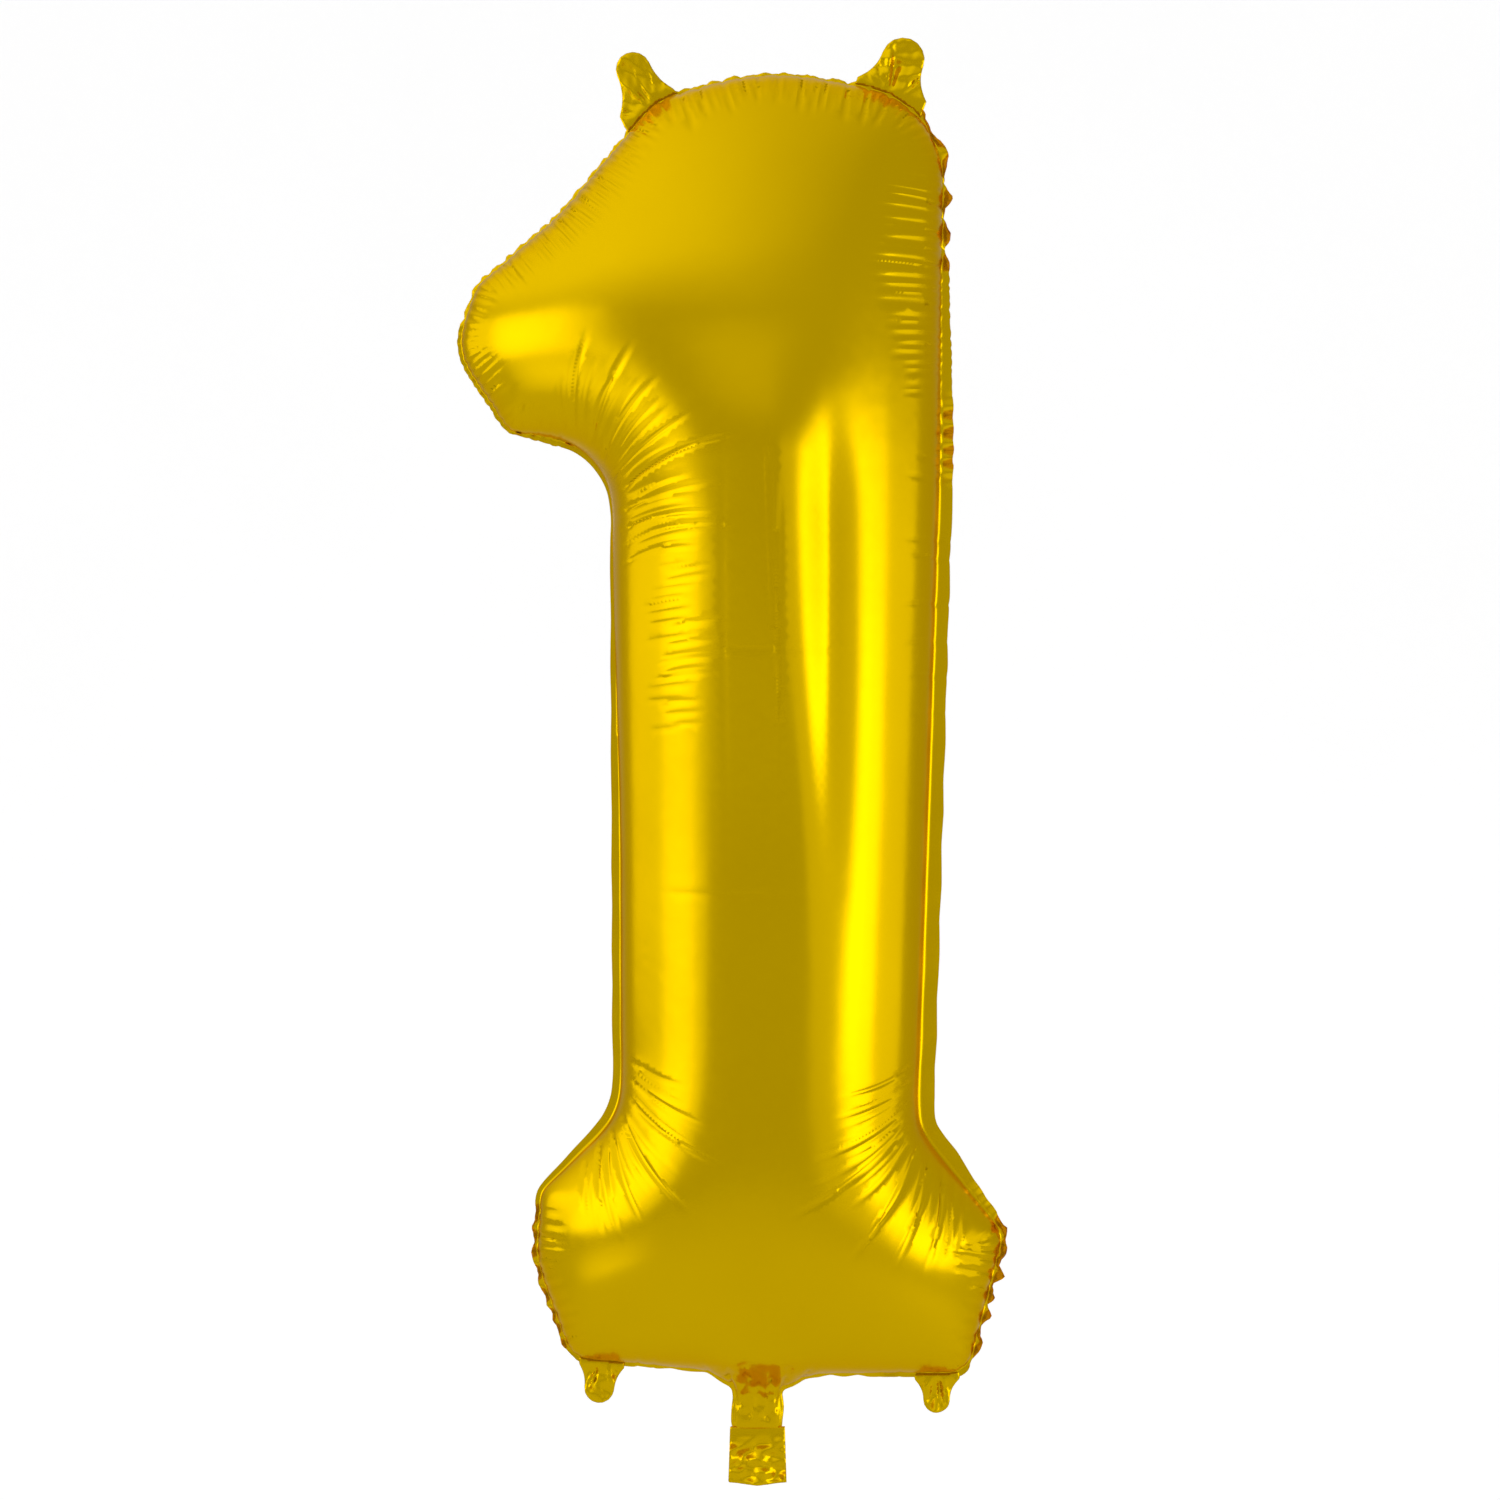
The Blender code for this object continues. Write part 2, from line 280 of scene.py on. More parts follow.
# Places on the seam, clockwise from the flag, as x and z in mm; each one means the seam's nearest point.
FLAG_FOOT = (-124, -221)
FLAG_TIP = (-189, -150)
FLAG_TOP = (-170, -123)
SLANT_TOP = (-76, -30)
CROWN = (-10, 0)
HEAD_CORNER = (96, -14)
LOBE_END = (104, -116)
CRINKLE_START = (103, -196)
CRINKLE_END = (103, -245)
RIGHT_MIDDLE = (100, -400)
RIGHT_HIP = (92, -590)
RIGHT_FLARE = (93, -636)
RIGHT_SHOULDER = (118, -668)
BASE_RIGHT_TOP = (134, -690)
BASE_RIGHT = (133, -730)
BASE_RIGHT_END = (112, -778)
BASE_RIGHT_FOOT = (60, -781)
BASE_LEFT_FOOT = (-60, -776)
BASE_LEFT_END = (-112, -771)
BASE_LEFT = (-141, -712)
BASE_LEFT_TOP = (-138, -680)
LEFT_SHOULDER = (-112, -644)
LEFT_FLARE = (-92, -618)
LEFT_HIP = (-90, -585)
LEFT_MIDDLE = (-90, -400)
HOLLOW_END = (-90, -300)
HOLLOW = (-98, -236)

# ---------------------------------------------------------------- creases


def on_seam(run):
    """The seam's point at a run, and its unit normal into the sheet."""
    index = np.arange(HELD + 1) * SEAM_LENGTH / HELD
    run = run % SEAM_LENGTH
    looped = np.vstack([SEAM, SEAM[:1]]), np.vstack([-NORMALS, -NORMALS[:1]])
    foot, inward = (np.array([np.interp(run, index, part[:, k]) for k in (0, 1)]) for part in looped)
    return foot, inward / np.linalg.norm(inward)


def run_near(x, z):
    """How far along the seam its nearest point to a place in mm lies."""
    return float(place_on(SEAM, np.array([[x, z]]) * MM)[1][0])


def turned(vector, degrees):
    angle = math.radians(degrees)
    cos, sin = math.cos(angle), math.sin(angle)
    return np.array([vector[0] * cos - vector[1] * sin, vector[0] * sin + vector[1] * cos])


def pleats(rng, first, last, spacing, leans, lengths, depths, width, start, bow=0.0, every=1):
    """Creases that leave the seam between two places on it. Leans are the angle from the seam's inward
    normal at both ends, counter-clockwise as seen from the front; the rest is in mm, with two numbers
    for the stretch's ends and its middle. Only one crease in every few is a full one."""
    low, high = run_near(*first), run_near(*last)
    span = (high - low) % SEAM_LENGTH
    count = max(1, int(span / (spacing * MM)))
    made = []
    for k in range(count):
        share = (k + 0.5 + rng.uniform(-0.3, 0.3)) / count
        foot, inward = on_seam(low + span * share)
        way = turned(inward, leans[0] + (leans[1] - leans[0]) * share + rng.uniform(-2, 2))
        middle = math.sin(math.pi * share)
        full = k % every == 0
        length = (lengths[0] + (lengths[1] - lengths[0]) * middle) * rng.uniform(0.75, 1.15) * MM
        length *= 1 if full else rng.uniform(*MINOR_LENGTH)
        depth = (depths[0] + (depths[1] - depths[0]) * middle) * rng.uniform(0.7, 1.15) * MM
        depth *= 1 if full else MINOR_DEPTH
        near = foot + way * start * rng.uniform(0.7, 1.3) * (1 if full else MINOR_START) * MM
        bend = bow + rng.uniform(-0.02, 0.02)
        made.append((near, near + way * length, depth, width * MM * rng.uniform(0.85, 1.15), bend))
    return made


# A crease that isn't a full one: its share of a full one's length, depth and gap from the seam
MINOR_LENGTH = (0.5, 0.85)
MINOR_DEPTH = 0.42
MINOR_START = 2


def crease_frame(crease, points):
    """How far along a crease, as a share of its length, and how far aside of it each point lies."""
    near, far, _, _, bend = crease
    way = far - near
    length = np.linalg.norm(way)
    way = way / length
    along = (points - near) @ way / length
    bow = bend * length * 4 * along * (1 - along)
    return along, (points - near) @ np.array([-way[1], way[0]]) - bow


def seam_rows():
    """Mesh points in even rows along the seam, where the sheet is steepest."""
    rows = []
    for offset in ROW_OFFSETS:
        row = SEAM - NORMALS * offset
        gap, _, inside = place_on(SEAM, row)
        rows.append(spread(row[inside & (gap > 0.95 * offset)], ROW_CLEAR))
    return np.vstack(rows)


def crease_points(creases):
    """Mesh points on every crease and along both its shoulders, so that its edge comes out sharp."""
    kept = [SEAM, seam_rows()]
    for offset in (0, -1, 1):
        fresh = []
        for near, far, _, width, bend in creases:
            way = far - near
            length = np.linalg.norm(way)
            along = np.linspace(0, 1, max(3, int(length / CREASE_STEP) + 1))
            bow = bend * length * 4 * along * (1 - along) + offset * SHOULDER_PLACE * width
            sideways = np.array([-way[1], way[0]]) / length
            fresh.append(near + way * along[:, None] + sideways * bow[:, None])
        fresh = np.vstack(fresh)
        gap, _, inside = place_on(SEAM, fresh)
        fresh = fresh[inside & (gap > CREASE_CLEAR)]
        fresh = fresh[away_from(fresh, np.vstack(kept), OTHERS_CLEAR)]
        kept.append(spread(fresh, CREASE_CLEAR))
    return np.vstack(kept[1:])


def spread(points, clear):
    """The points, without those nearer than clear to one before them."""
    around = [(dx, dz) for dx in (-1, 0, 1) for dz in (-1, 0, 1)]
    cells, kept = {}, []
    for point in points:
        x, z = np.floor(point / clear).astype(int)
        near = [q for dx, dz in around for q in cells.get((x + dx, z + dz), ())]
        if all(abs(q[0] - point[0]) + abs(q[1] - point[1]) > clear for q in near):
            cells.setdefault((x, z), []).append(point)
            kept.append(point)
    return np.array(kept)


def crease_depth(points, creases):
    """How far each point is pressed in by the creases, in metres: sharp cusps between low shoulders."""
    total = np.zeros(len(points))
    for crease in creases:
        near, far, depth, width, _ = crease
        reach = 0.5 * np.linalg.norm(far - near) + CUSP_REACH * width
        close = np.linalg.norm(points - (near + far) / 2, axis=1) < reach
        along, aside = crease_frame(crease, points[close])
        fade = smoothstep(*FADE_IN, along) * (1 - smoothstep(*FADE_OUT, along))
        aside = np.abs(aside)
        shoulders = SHOULDER_SHARE * np.exp(-((aside / (SHOULDER_WIDTH * width)) ** 2))
        total[close] += depth * fade * (np.exp(-aside / width) - shoulders)
    return total


CUSP_REACH = 8  # in crease widths
SHOULDER_WIDTH = 2.4  # in crease widths
SHOULDER_SHARE = 0.4  # of the crease's depth
FADE_IN, FADE_OUT = (-0.04, 0.15), (0.5, 1.0)  # in crease lengths


def swell_height(points):
    """How far the soft folds stand out, in metres."""
    total = np.zeros(len(points))
    for near, far, height, left, right in SWELLS:
        near, far = np.array(near) * MM, np.array(far) * MM
        along, aside = crease_frame((near, far, 0, 0, 0), points)
        fade = smoothstep(*SWELL_IN, along) * (1 - smoothstep(*SWELL_OUT, along))
        width = np.where(aside < 0, left, right) * MM
        power = np.where(aside < 0, 2, 1.5)
        total += height * MM * fade * np.exp(-(np.abs(aside / width) ** power))
    return total


# Rows of creases: first place, last place, spacing, leans, lengths, depths, crease width, gap from the
# seam. Some rows also have a bow, as a share of the length, and say that one crease in so many is full.
FANS = [
    (HOLLOW_END, FLAG_FOOT, 3.5, (12, 16), (50, 78), (1.6, 3.2), 1.2, 6, 0.07, 3),
    (LEFT_MIDDLE, HOLLOW_END, 4.6, (4, 10), (24, 36), (0.3, 0.6), 1.0, 26, 0.03, 1),
    (RIGHT_HIP, RIGHT_SHOULDER, 3.5, (23, 43), (48, 88), (1.3, 2.6), 1.2, 5, 0.06, 3),
    (LEFT_SHOULDER, LEFT_HIP, 3.5, (-43, -25), (44, 74), (1.3, 2.6), 1.2, 5, -0.06, 3),
]
GATHERS = [
    (FLAG_FOOT, FLAG_TIP, 5.5, (-8, 8), (14, 22), (1.1, 1.8), 1.1, 0.8),
    (FLAG_TIP, FLAG_TOP, 5.5, (-8, 8), (12, 18), (1.0, 1.5), 1.1, 0.8),
    (FLAG_TOP, SLANT_TOP, 4.6, (-6, 6), (18, 28), (1.6, 2.4), 1.1, 1.2),
    (SLANT_TOP, CROWN, 4.2, (-5, 5), (20, 29), (2.2, 3.2), 1.2, 1.5, 0.0, 3),
    (CROWN, HEAD_CORNER, 4.4, (-5, 5), (22, 31), (2.2, 3.2), 1.2, 1.5, 0.0, 3),
    (HEAD_CORNER, CRINKLE_START, 5.5, (-6, 6), (24, 46), (0.9, 1.9), 1.2, 0.8),
    (CRINKLE_START, RIGHT_MIDDLE, 22.0, (-10, 10), (12, 24), (0.5, 1.0), 1.2, 0.8),
    (BASE_RIGHT_TOP, BASE_RIGHT, 6.0, (-6, 6), (16, 30), (1.1, 2.0), 1.2, 0.8),
    (BASE_RIGHT, BASE_RIGHT_END, 7.0, (-6, 6), (10, 18), (0.9, 1.6), 1.2, 0.8),
    (BASE_RIGHT_END, BASE_RIGHT_FOOT, 12.0, (-6, 6), (8, 14), (0.6, 1.2), 1.2, 0.8),
    (BASE_LEFT_FOOT, BASE_LEFT_END, 12.0, (-6, 6), (8, 14), (0.6, 1.2), 1.2, 0.8),
    (BASE_LEFT_END, BASE_LEFT, 7.0, (-6, 6), (10, 18), (0.9, 1.6), 1.2, 0.8),
    (BASE_LEFT, BASE_LEFT_TOP, 6.0, (-6, 6), (14, 24), (1.0, 1.8), 1.2, 0.8),
]
# Long creases of the column and the neck root: both ends (x, z), depth and width in mm
LONG_CREASES = [
    ((-25, -205), (-26, -500), 0.55, 1.2),
    ((-2, -216), (5, -390), 2.8, 1.5),
    ((5, -250), (5, -480), 0.8, 1.2),
    ((-25, -347), (34, -348), 0.15, 1.0),
    ((-66, -491), (34, -493), 0.15, 1.0),
    ((-24, -798), (-44, -768), 2.2, 1.8),
    ((-18, -806), (-28, -766), 2.6, 1.8),
    ((-12, -810), (-16, -764), 3.0, 1.9),
    ((-7, -806), (-6, -768), 2.6, 1.7),
    ((-2, -810), (3, -764), 3.0, 1.9),
    ((3, -806), (14, -766), 2.6, 1.8),
    ((9, -798), (30, -768), 2.2, 1.8),
]
# Soft folds: both ends (x, z), height, and width on the left and on the right, in mm
SWELLS = [
    ((0, -150), (4, -480), 10.5, 95.0, 26.0),
    ((34, -180), (38, -560), -4.5, 12.0, 13.0),
]
SWELL_IN, SWELL_OUT = (0, 0.25), (0.35, 1.0)  # in fold lengths
CREASE_STEP = 2.2 * MM  # mesh points along a crease
CREASE_CLEAR = 0.7 * MM  # least gap between the mesh points of one row, and from them to the seam
OTHERS_CLEAR = 0.75 * MM  # and to the points that were there before
SHOULDER_PLACE = 1.5  # how many widths aside of a crease its shoulder points lie
ROW_OFFSETS = (0.5 * MM, 1.6 * MM, 3.2 * MM, 5.2 * MM, 7.6 * MM, 10.2 * MM)  # rows of mesh along the seam
ROW_CLEAR = 0.9 * MM

# The neck is pressed nearly flat below its root, with soft ends upwards and to both sides
NECK_X = -7.5 * MM
NECK_ROOT_Z = -800 * MM
NECK_BLEND_TOP = -768 * MM
NECK_NEAR, NECK_FAR = 4 * MM, 50 * MM  # how far aside of the neck the flattening fades out
NECK_PUFF = 0.24  # share of its height that the flat neck keeps
# Its crushed part: the heights between which it fades in, grows and fades out, and where it ends aside
CRUSH_STARTS = (-813 * MM, -807 * MM)
CRUSH_GROWS = (-802 * MM, -788 * MM)
CRUSH_ENDS = (-786 * MM, -762 * MM)
CRUSH_ASIDE = (14 * MM, 34 * MM)
CRUSH_EDGE = (0, 3 * MM)  # and how it fades in from the seam
CRUSH_LEAST, CRUSH_MORE = 0.8, 1.4  # its strength before it grows, and how much it grows by
CRUSH_SIZE = (8 * MM, 1.0 * MM)  # how wide and how deep its facets are
BACK_SHARES = (0.2, 1.1)  # how deep a crease of the back is, from and to, as a share of the front's


def near_hollow(points):
    """Which points lie round the hollow corners, where the creases fan out."""
    hollows = np.array([HOLLOW, LEFT_FLARE, RIGHT_FLARE]) * MM
    return np.linalg.norm(points[:, None] - hollows, axis=2).min(1) < FAN_REACH


def all_creases():
    """The fans and the gathers, each as a list of creases, and the long creases."""
    rng = np.random.default_rng(SEED)
    fans, gathers = ([c for row in rows for c in pleats(rng, *row)] for rows in (FANS, GATHERS))
    long = [
        (np.array(near) * MM, np.array(far) * MM, depth * MM, width * MM, 0.0)
        for near, far, depth, width in LONG_CREASES
    ]
    return fans, gathers, long


FAN_CREASES, GATHER_CREASES, STRAIGHT_CREASES = all_creases()
CREASES = FAN_CREASES + GATHER_CREASES + STRAIGHT_CREASES
FLAT, FACES = filled(
    SEAM, FINE_STEP, lambda points, gap: (gap < FINE_REACH) | near_hollow(points), crease_points(CREASES)
)
HEIGHT = dome(FLAT, FACES, HELD)
flattened = 1 - smoothstep(NECK_ROOT_Z, NECK_BLEND_TOP, FLAT[:, 1])
flattened *= 1 - smoothstep(NECK_NEAR, NECK_FAR, np.abs(FLAT[:, 0] - NECK_X))
HEIGHT *= 1 - (1 - NECK_PUFF) * flattened


def crumple(rng, points, size, amount):
    """Flat facets with sharp ridges between them, as in crushed film: zigzags in several directions."""
    total = np.zeros(len(points))
    for scale in (1.6, 1.15, 0.8, 0.5):
        way = turned(np.array([1.0, 0.0]), rng.uniform(0, 180))
        aside = points @ np.array([-way[1], way[0]])
        wander = 0.35 * np.sin(aside / size + rng.uniform(0, 6))
        phase = points @ way / (size * scale) + wander + rng.uniform(0, 1)
        total += scale * np.abs(phase % 1 * 2 - 1)
    return (total - total.mean()) * amount


def neck_crumple():
    """How far back the neck is crushed at each point, which both sheets share."""
    x, z = FLAT.T
    strength = smoothstep(*CRUSH_STARTS, z) * (1 - smoothstep(*CRUSH_ENDS, z))
    strength *= CRUSH_LEAST + CRUSH_MORE * smoothstep(*CRUSH_GROWS, z)
    strength *= smoothstep(*CRUSH_EDGE, place_on(SEAM, FLAT)[0])
    strength *= 1 - smoothstep(*CRUSH_ASIDE, np.abs(x - NECK_X))
    return crumple(np.random.default_rng(SEED + 60), FLAT, *CRUSH_SIZE) * strength


NECK_CRUMPLE = neck_crumple()


def creases_of(side):
    """The front has the creases as they are, and the back has its own share of each one's depth."""
    if side < 0:
        return CREASES
    rng = np.random.default_rng(SEED + 1)
    return [(near, far, depth * rng.uniform(*BACK_SHARES), *rest) for near, far, depth, *rest in CREASES]


def vertex_normals(points, faces):
    a, b, c = (points[faces[:, k]] for k in range(3))
    face_normals = np.cross(b - a, c - a)
    total = np.zeros_like(points)
    for k in range(3):
        for axis in range(3):
            total[:, axis] += np.bincount(faces[:, k], face_normals[:, axis], len(points))
    return total / np.maximum(np.linalg.norm(total, axis=1), 1e-12)[:, None]


# ---------------------------------------------------------------- the flange

TABS = ("top_left_tab", "top_right_tab", "bottom_left_tab", "bottom_right_tab")


def joint(name):
    return next(row for row in frame["joints"] if row["name"] == name)


def blended(rows, default):
    """One value per seam point from (first place, last place, value) rows, with soft ends."""
    values = np.full(HELD, float(default))
    for first, last, value in rows:
        low = run_near(*first)
        span = (run_near(*last) - low) % SEAM_LENGTH
        into = (RUN - low) % SEAM_LENGTH
        into = np.where(into > (SEAM_LENGTH + span) / 2, into - SEAM_LENGTH, into)
        inside = smoothstep(-SOFT_END, SOFT_END, into)
        inside *= 1 - smoothstep(span - SOFT_END, span + SOFT_END, into)
        values += (value - values) * inside
    return values


def wave(rng, pitch):
    """A folded zigzag along the seam, from -1 to 1, whose pitch in mm varies along it."""
    uneven = np.interp(RUN, np.linspace(0, SEAM_LENGTH, 160), rng.uniform(0.6, 1.5, 160))
    phase = np.cumsum(SEAM_STEP / (pitch * MM) * uneven)
    phase *= round(phase[-1]) / phase[-1]
    return np.arcsin(FOLD_SHARP * np.sin(2 * math.pi * phase)) / math.asin(FOLD_SHARP)


SOFT_END = 5 * MM
FOLD_SHARP = 0.96  # 1 makes a zigzag with no rounding

# Rows of first place, last place and value, and the value everywhere else
CRIMPS = [  # how far the flange's edge waves to the front and back, in mm
    (FLAG_FOOT, FLAG_TOP, 0.9),
    (FLAG_TOP, CROWN, 0.8),
    (CROWN, HEAD_CORNER, 1.0),
    (HEAD_CORNER, LOBE_END, 4.2),
    (CRINKLE_START, CRINKLE_END, 2.2),
    (RIGHT_SHOULDER, BASE_RIGHT_TOP, 1.4),
    (BASE_RIGHT_TOP, BASE_RIGHT_END, 3.0),
    (BASE_RIGHT_END, BASE_LEFT_END, 0.5),
    (BASE_LEFT_END, BASE_LEFT_TOP, 1.8),
]
CRIMP_ELSEWHERE = 0.35
PITCHES = [  # how long one wave is, in mm
    (FLAG_FOOT, CROWN, 7),
    (CROWN, HEAD_CORNER, 9),
    (HEAD_CORNER, LOBE_END, 19),
    (CRINKLE_START, CRINKLE_END, 11),
    (RIGHT_SHOULDER, BASE_RIGHT_END, 13),
    (BASE_RIGHT_END, BASE_LEFT_END, 14),
    (BASE_LEFT_END, BASE_LEFT_TOP, 11),
]
PITCH_ELSEWHERE = 42
FOLDS = [  # how far the flange is folded to the back, in degrees
    (FLAG_TIP, SLANT_TOP, 48),
    (SLANT_TOP, HEAD_CORNER, 40),
    (HEAD_CORNER, LOBE_END, -40),
    (CRINKLE_START, CRINKLE_END, -8),
    (BASE_RIGHT_TOP, BASE_RIGHT_END, -40),
    (BASE_RIGHT_FOOT, BASE_LEFT_END, 36),
    (BASE_LEFT_END, BASE_LEFT_TOP, -18),
]
FOLD_ELSEWHERE = 3
LOBES = [  # how much wider and narrower the flange gets along it, as a share of its width
    (HEAD_CORNER, LOBE_END, 0.7),
    (BASE_RIGHT_TOP, BASE_RIGHT_END, 0.6),
    (BASE_LEFT_END, BASE_LEFT_TOP, 0.3),
]
LOBE_ELSEWHERE = 0.04
FLANGE_WIDEST = 10 * MM
FLANGE_SHARES = (0.25, 0.5, 0.75, 1.0)  # the rows of the flange's mesh, as shares of its width
CALM_NEAR, CALM_FAR = 17 * MM, 27 * MM  # the flange is smooth this near to a tab's root
CALM_CRIMP = 0.2  # share of its waves that it keeps there


def flange_rows():
    """Points of the flange as (row, seam point, xyz), on the seam plane's middle surface."""
    rng = np.random.default_rng(SEED + 5)
    width = np.minimum(place_on(RIM, SEAM)[0], FLANGE_WIDEST)
    crimp = blended(CRIMPS, CRIMP_ELSEWHERE)
    pitch = blended(PITCHES, PITCH_ELSEWHERE)
    fold = blended(FOLDS, FOLD_ELSEWHERE)
    roots = np.array([joint(name + "_bend")["pos_m"] for name in TABS])[:, [0, 2]]
    calm = smoothstep(CALM_NEAR, CALM_FAR, np.linalg.norm(SEAM[:, None] - roots, axis=2).min(1))
    crimp, fold = crimp * (CALM_CRIMP + (1 - CALM_CRIMP) * calm), fold * calm
    folds = wave(rng, pitch)
    lobes = 1 + blended(LOBES, LOBE_ELSEWHERE) * (0.3 + wave(rng, 1.2 * pitch))
    fold = np.radians(fold * (1 + 0.5 * wave(rng, 1.7 * pitch)))
    pulled = SEAM - NORMALS * NOTCH[:, None]
    middle = np.column_stack([pulled[:, 0], np.zeros(HELD), pulled[:, 1]])
    out = np.column_stack([NORMALS[:, 0], np.zeros(HELD), NORMALS[:, 1]])
    rows = []
    for share in FLANGE_SHARES:
        reach = (width * lobes * share)[:, None]
        bent = out * np.cos(fold * share)[:, None] + BACK * np.sin(fold * share)[:, None]
        rows.append(middle + bent * reach + BACK * (crimp * folds * share * MM)[:, None])
    return np.array(rows)


def seam_notches():
    """How far each gather pulls the seam inwards, at every seam point."""
    pull = np.zeros(HELD)
    for near, _, depth, _, _ in GATHER_CREASES:
        run = place_on(SEAM, near[None])[1][0]
        apart = np.abs((RUN - run + SEAM_LENGTH / 2) % SEAM_LENGTH - SEAM_LENGTH / 2)
        pull = np.maximum(pull, NOTCH_SHARE * depth * np.exp(-apart / NOTCH_WIDTH))
    return pull


BACK = np.array([0, 1, 0])
NOTCH_SHARE = 0.6  # of a gather's depth
NOTCH_WIDTH = 1.6 * MM  # along the seam
NOTCH_REACH = 5 * MM  # into the sheet
NOTCH = seam_notches()
FLANGE = flange_rows()


def add_mesh(name, points, faces, finish):
    mesh = bpy.data.meshes.new(name)
    mesh.from_pydata(points.tolist(), [], faces)
    mesh.shade_smooth()
    mesh.materials.append(finish)
    obj = bpy.data.objects.new(name, mesh)
    bpy.context.scene.collection.objects.link(obj)
    return obj


def add_shell(name, flat, border, faces, near, far, finish, turned_over=False):
    """A closed thin piece between two depths over one flat mesh, whose first points are its border."""
    count = len(flat)
    points = np.vstack([np.column_stack([flat[:, 0], depth, flat[:, 1]]) for depth in (near, far)])
    ring = np.arange(border)
    sides = np.stack([ring, np.roll(ring, -1), count + np.roll(ring, -1), count + ring], 1)
    shell = faces.tolist() + (faces[:, ::-1] + count).tolist() + sides.tolist()
    return add_mesh(name, points, [face[::-1] for face in shell] if turned_over else shell, finish)


def add_film(name, node, side, finish):
    """One sheet of the envelope with its layer of the flange. Side is -1 for the front."""
    creases = creases_of(side)
    points = np.column_stack([FLAT[:, 0], side * HEIGHT, FLAT[:, 1]])
    faces = FACES if side < 0 else FACES[:, ::-1]
    pressed = crease_depth(FLAT, creases) * smoothstep(0, CREASE_ROOM, HEIGHT)
    if side < 0:
        pressed -= swell_height(FLAT)
    points -= vertex_normals(points, faces) * pressed[:, None]
    points[:, 1] += side * FILM_GAP + NECK_CRUMPLE
    gap, run, _ = place_on(SEAM, FLAT)
    nearest = np.round(run / SEAM_LENGTH * HELD).astype(int) % HELD
    pull = NORMALS[nearest] * (NOTCH[nearest] * np.exp(-gap / NOTCH_REACH))[:, None]
    points[:, [0, 2]] -= pull
    rows = FLANGE + BACK * side * FILM_GAP
    ring = [np.arange(HELD)] + [len(FLAT) + k * HELD + np.arange(HELD) for k in range(len(rows))]
    quads = []
    for inner, outer in zip(ring, ring[1:]):
        quad = np.stack([inner, outer, np.roll(outer, -1), np.roll(inner, -1)], 1)
        quads += (quad if side > 0 else quad[:, ::-1]).tolist()
    obj = add_mesh(name, np.vstack([points, rows.reshape(-1, 3)]), faces.tolist() + quads, finish)
    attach(obj, "envelope")
    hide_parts(node)
    return obj


CREASE_ROOM = 2.5 * MM  # a crease has its full depth where the sheet stands this far off the seam plane


# ---------------------------------------------------------------- tabs


def add_tab(name, seed, finish):
    """A welded tongue: the CAD node's outline, grown over the flange at its root, then crumpled."""
    rng = np.random.default_rng(seed)
    bend = joint(name + "_bend")
    root = np.array([bend["pos_m"][0], bend["pos_m"][2]])
    axis = np.array([bend["axis"][0], bend["axis"][2]])
    outline = flat_loops(name, lambda f: f.normal.y < -0.9)[0]
    away = np.array([-axis[1], axis[0]])
    away *= math.copysign(1, (outline.mean(0) - root) @ away)
    outline = evenly(outline, TAB_EDGE_STEP)
    at_root = place_on(RIM, outline)[0] < TAB_EDGE_STEP
    outline = outline - away * np.where(at_root, ROOT_OVERLAP, 0)[:, None]
    outline = evenly(outline, TAB_EDGE_STEP)
    flat, faces = filled(outline, TAB_STEP)
    height = (flat - root) @ away
    tall = height.max()
    grown = smoothstep(*TAB_GROWS, height)
    fan = np.arctan2((flat - root) @ axis, height + FAN_ORIGIN)
    ripple = np.zeros(len(flat))
    for _ in range(RIPPLES):
        centre, half_angle = rng.uniform(-0.9, 0.9), rng.uniform(0.05, 0.11)
        ridge = np.maximum(0, 1 - np.abs(fan - centre) / half_angle)
        ripple += rng.uniform(0.5, 1) * rng.choice((-1, 1)) * ridge
    ripple *= RIPPLE_DEPTH * (1 - RIPPLE_LOSS * smoothstep(0.35, 0.8, height / tall))
    curl = CURL_DEPTH * np.sin(height / tall * 2.2 + rng.uniform(0, 1))
    depth = (ripple + crumple(rng, flat, TAB_FACET, TAB_CRUMPLE) + curl) * grown
    inwards = smoothstep(0, TAB_BEVEL, place_on(outline, flat)[0])
    half = TAB_HALF * (TAB_EDGE + (1 - TAB_EDGE) * inwards)
    obj = add_shell(name + "_film", flat, len(outline), faces, depth - half, depth + half, finish)
    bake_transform(obj)
    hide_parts(name)
    return obj


TAB_EDGE_STEP, TAB_STEP = 1.1 * MM, 1.5 * MM
ROOT_OVERLAP = 3.2 * MM  # how far the tab reaches over the flange
FAN_ORIGIN = 12 * MM  # how far below the root the tab's ridges start out from
RIPPLES = 9
RIPPLE_DEPTH = 2.6 * MM
RIPPLE_LOSS = 0.65  # share of that depth that is lost by the tip
CURL_DEPTH = 1.8 * MM
TAB_FACET, TAB_CRUMPLE = 11 * MM, 0.9 * MM
TAB_GROWS = (-1 * MM, 5 * MM)  # heights over the root line between which the crumpling sets in
TAB_HALF = 0.45 * MM  # half thickness
TAB_EDGE, TAB_BEVEL = 0.35, 1.2 * MM  # share of it at the edge, and how far in it is reached in full


# ---------------------------------------------------------------- tail and valve


